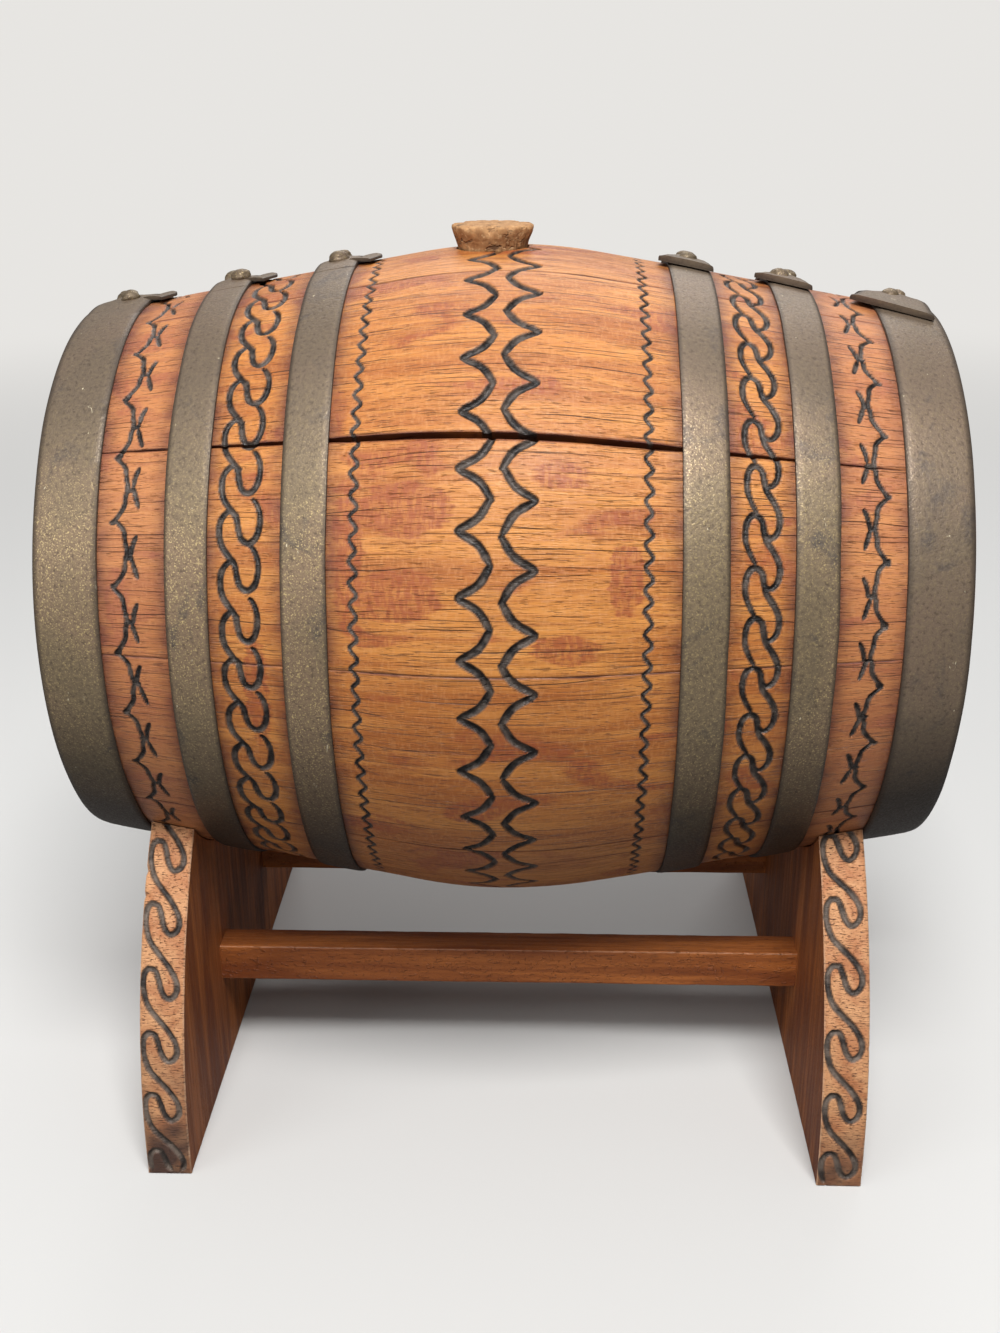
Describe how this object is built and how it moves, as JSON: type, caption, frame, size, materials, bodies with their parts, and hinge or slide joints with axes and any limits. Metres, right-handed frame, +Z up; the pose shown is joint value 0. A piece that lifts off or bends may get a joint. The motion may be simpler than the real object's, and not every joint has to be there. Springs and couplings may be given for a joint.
{
  "type": "keg with tap and rack",
  "caption": "Small coopered wooden keg on a two-board rack, with riveted hoops, a cork bung on top and a turned tap in one head.",
  "frame": {"origin": "on the floor under the middle of the overall length, tap included, and midway between the boards' front and back edges", "axes": "+X along the cask towards the tap, -Y towards the front of the picture, +Z up through the bung"},
  "size_m": [0.249, 0.184, 0.2431],
  "materials": {
    "stave_wood": "oiled, semi-gloss, with burnt carved bands",
    "head_wood": "oiled, semi-gloss",
    "dowel_wood": "plain",
    "hoop_brass": "aged olive-brown patina",
    "rivet_brass": "aged, rubbed on top",
    "rack_wood": "oiled, carved front edges",
    "nail_steel": "dull",
    "cork": "natural cork, chipped rim",
    "tap_wood": "pale turned wood"
  },
  "bodies": {
    "rack": {"rack_board_left": "rack_wood", "rack_board_right": "rack_wood", "stretcher_front": "rack_wood", "stretcher_back": "rack_wood", "stretcher_nails": "nail_steel"},
    "cask": {"stave_01": "stave_wood", "stave_02": "stave_wood", "stave_03": "stave_wood", "stave_04": "stave_wood", "stave_05": "stave_wood", "stave_06": "stave_wood", "stave_07": "stave_wood", "stave_08": "stave_wood", "stave_09": "stave_wood", "stave_10": "stave_wood", "head_left_front": "head_wood", "head_left_middle": "head_wood", "head_left_back": "head_wood", "head_left_dowels": "dowel_wood", "head_right_front": "head_wood", "head_right_middle": "head_wood", "head_right_back": "head_wood", "head_right_dowels": "dowel_wood", "hoop_left_end": "hoop_brass", "hoop_left_mid": "hoop_brass", "hoop_left_inner": "hoop_brass", "hoop_right_end": "hoop_brass", "hoop_right_mid": "hoop_brass", "hoop_right_inner": "hoop_brass", "rivets_left_end": "rivet_brass", "rivets_left_mid": "rivet_brass", "rivets_left_inner": "rivet_brass", "rivets_right_end": "rivet_brass", "rivets_right_mid": "rivet_brass", "rivets_right_inner": "rivet_brass", "tap_body": "tap_wood"},
    "bung": {"bung": "cork"},
    "key": {"tap_key": "tap_wood"}
  },
  "joints": [
    {"name": "cask_lift", "type": "slide", "parent": "rack", "child": "cask", "axis": [0, 0, 1], "range_m": [0, 0.06]},
    {"name": "bung_pull", "type": "slide", "parent": "cask", "child": "bung", "axis": [0, 0, 1], "range_m": [0, 0.03]},
    {"name": "key_turn", "type": "hinge", "parent": "cask", "child": "key", "pos_m": [0.107, 0, 0.0923], "axis": [0, 0, 1], "range_deg": [0, 90]}
  ]
}
